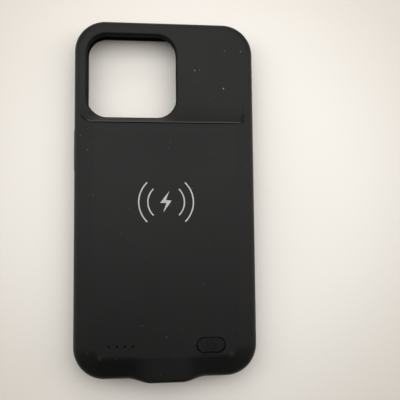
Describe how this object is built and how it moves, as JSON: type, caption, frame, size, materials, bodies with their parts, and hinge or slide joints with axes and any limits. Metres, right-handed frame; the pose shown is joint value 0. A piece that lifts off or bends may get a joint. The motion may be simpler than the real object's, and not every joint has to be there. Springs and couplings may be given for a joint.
{
  "type": "battery charging case",
  "caption": "Soft black phone case with a flat built-in battery, camera opening, charge lights, press button, phone plug and a chin with the charging socket.",
  "frame": {"origin": "middle of the case's outline, on the plane of its front lip", "axes": "+Z out of the back of the case, +Y towards the phone's top edge, +X across the phone"},
  "size_m": [0.0794, 0.1562, 0.0163],
  "materials": {
    "soft_shell": "soft-touch matte elastomer",
    "hard_tray": "fine-textured hard plastic",
    "cell_foil": "laminated foil pouch",
    "tape": "double-sided adhesive tape",
    "nickel": "nickel strip",
    "circuit_board": "solder-masked glass laminate",
    "ferrite": "sintered ferrite",
    "copper": "enamelled copper",
    "screw_steel": "zinc-plated steel",
    "moulded_chip": "moulded black resin",
    "ceramic": "fired ceramic with tinned ends",
    "led_body": "white resin",
    "clear_guide": "clear acrylic",
    "button_cap": "soft-touch matte elastomer",
    "socket_steel": "nickel-plated steel",
    "gold_contact": "gold plating"
  },
  "bodies": {
    "case": {"outer_shell": "soft_shell", "inner_tray": "hard_tray", "battery_cell": "cell_foil", "cell_tape": "tape", "cell_tabs": "nickel", "protection_board": "circuit_board", "battery_leads": "nickel", "ferrite_sheet": "ferrite", "receiver_coil": "copper", "coil_leads": "copper", "main_board": "circuit_board", "board_screws": "screw_steel", "control_chip": "moulded_chip", "power_inductor": "ferrite", "chip_capacitors": "ceramic", "status_leds": "led_body", "light_guide": "clear_guide", "switch_body": "moulded_chip", "charge_socket_shell": "socket_steel", "charge_socket_tongue": "moulded_chip", "plug_board": "circuit_board", "phone_plug_collar": "hard_tray", "phone_plug_tab": "socket_steel", "phone_plug_contacts": "gold_contact"},
    "button": {"power_button": "button_cap", "switch_plunger": "moulded_chip"}
  },
  "joints": [
    {"name": "power_button_press", "type": "slide", "parent": "case", "child": "button", "axis": [0, 0, -1], "range_m": [0, 0.0003], "stiffness_N_per_m": 2500}
  ]
}
